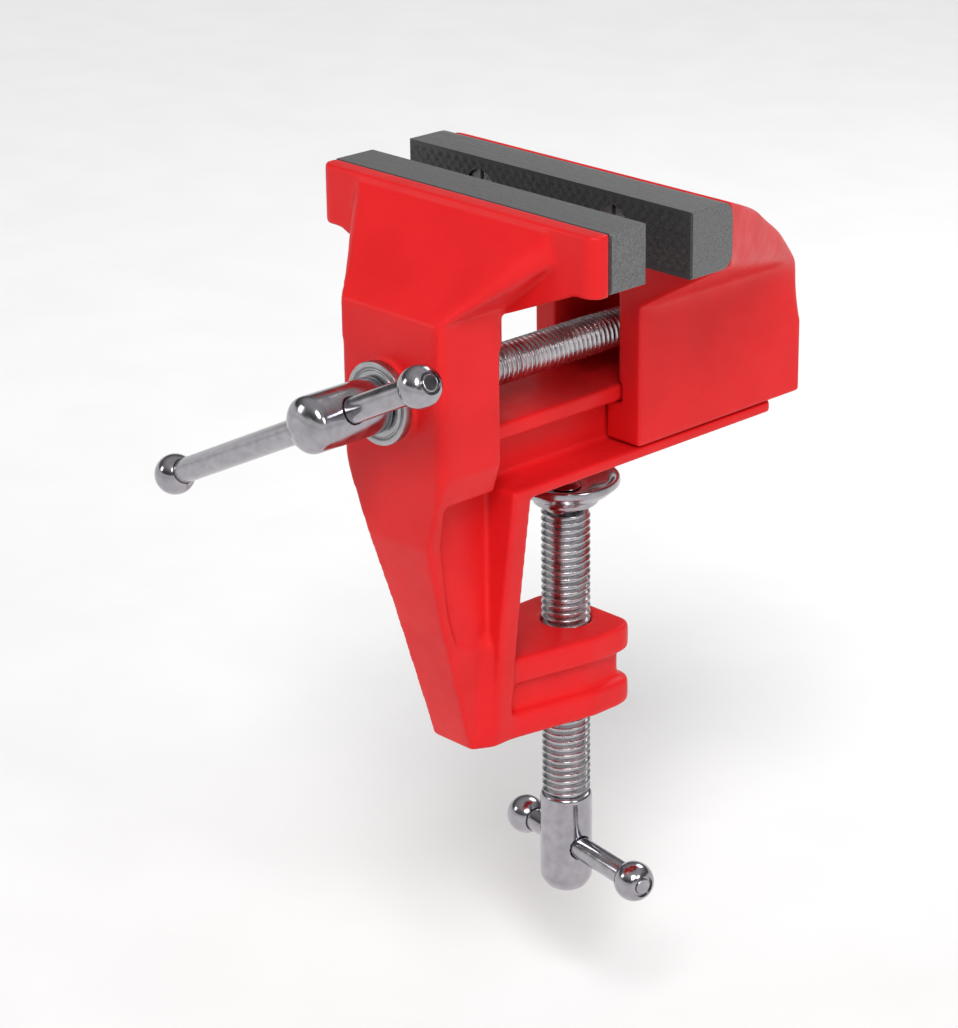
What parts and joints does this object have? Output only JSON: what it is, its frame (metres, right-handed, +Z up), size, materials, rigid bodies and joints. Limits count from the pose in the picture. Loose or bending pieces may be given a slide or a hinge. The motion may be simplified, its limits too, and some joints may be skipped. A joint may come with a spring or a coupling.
{
  "type": "bench vise",
  "caption": "Small clamp-on bench vise: fixed flared jaw on an offset leg and beam, screw-driven sliding jaw, tommy-bar handles and a clamp screw with dished pad.",
  "frame": {"origin": "on the clamp-screw axis, in the underside of the beam (the face that rests on the table top)", "axes": "+X to the operator's right, along the jaws; +Y from the handle towards the sliding jaw; +Z up"},
  "size_m": [0.0922, 0.127, 0.1555],
  "materials": {
    "red_paint": "glossy red enamel over cast iron",
    "jaw_steel": "blackened ground steel",
    "plated_screw": "zinc plated",
    "bright_plate": "bright plated steel"
  },
  "bodies": {
    "frame": {"fixed_jaw_casting": "red_paint", "front_jaw_plate": "jaw_steel", "front_plate_screw_left": "plated_screw", "front_plate_screw_right": "plated_screw", "thrust_washer": "bright_plate"},
    "sliding_jaw": {"sliding_jaw": "red_paint", "rear_jaw_plate": "jaw_steel", "rear_plate_screw_left": "plated_screw", "rear_plate_screw_right": "plated_screw"},
    "main_screw": {"main_screw": "bright_plate", "retaining_collar": "plated_screw", "collar_pin": "plated_screw"},
    "main_handle": {"main_handle_rod": "bright_plate", "main_handle_knob_left": "bright_plate", "main_handle_knob_right": "bright_plate"},
    "clamp_pad": {"clamp_pad": "bright_plate"},
    "clamp_screw": {"clamp_screw": "bright_plate"},
    "clamp_handle": {"clamp_handle_rod": "bright_plate", "clamp_handle_knob_left": "bright_plate", "clamp_handle_knob_right": "bright_plate"}
  },
  "joints": [
    {"name": "main_screw_turn", "type": "hinge", "parent": "frame", "child": "main_screw", "pos_m": [0, -0.0593, 0.0225], "axis": [0, 1, 0], "range_deg": [-6915, 3113]},
    {"name": "jaw_slide", "type": "slide", "parent": "frame", "child": "sliding_jaw", "axis": [0, 1, 0], "range_m": [-0.0108, 0.024]},
    {"name": "main_handle_slide", "type": "slide", "parent": "main_screw", "child": "main_handle", "axis": [0.8949, 0, 0.4462], "range_m": [-0.0165, 0.0465]},
    {"name": "clamp_travel", "type": "slide", "parent": "frame", "child": "clamp_pad", "axis": [0, 0, 1], "range_m": [-0.0245, 0.0051]},
    {"name": "clamp_screw_turn", "type": "hinge", "parent": "clamp_pad", "child": "clamp_screw", "pos_m": [0, 0, -0.0865], "axis": [0, 0, 1], "range_deg": [-5884, 1227]},
    {"name": "clamp_handle_slide", "type": "slide", "parent": "clamp_screw", "child": "clamp_handle", "axis": [0.9893, -0.1461, 0], "range_m": [-0.0142, 0.0053]}
  ],
  "couplings": [
    {"joint": "main_screw_turn", "follows": "jaw_slide", "rad_per_m": -5026.5},
    {"joint": "clamp_screw_turn", "follows": "clamp_travel", "rad_per_m": 4188.8}
  ]
}
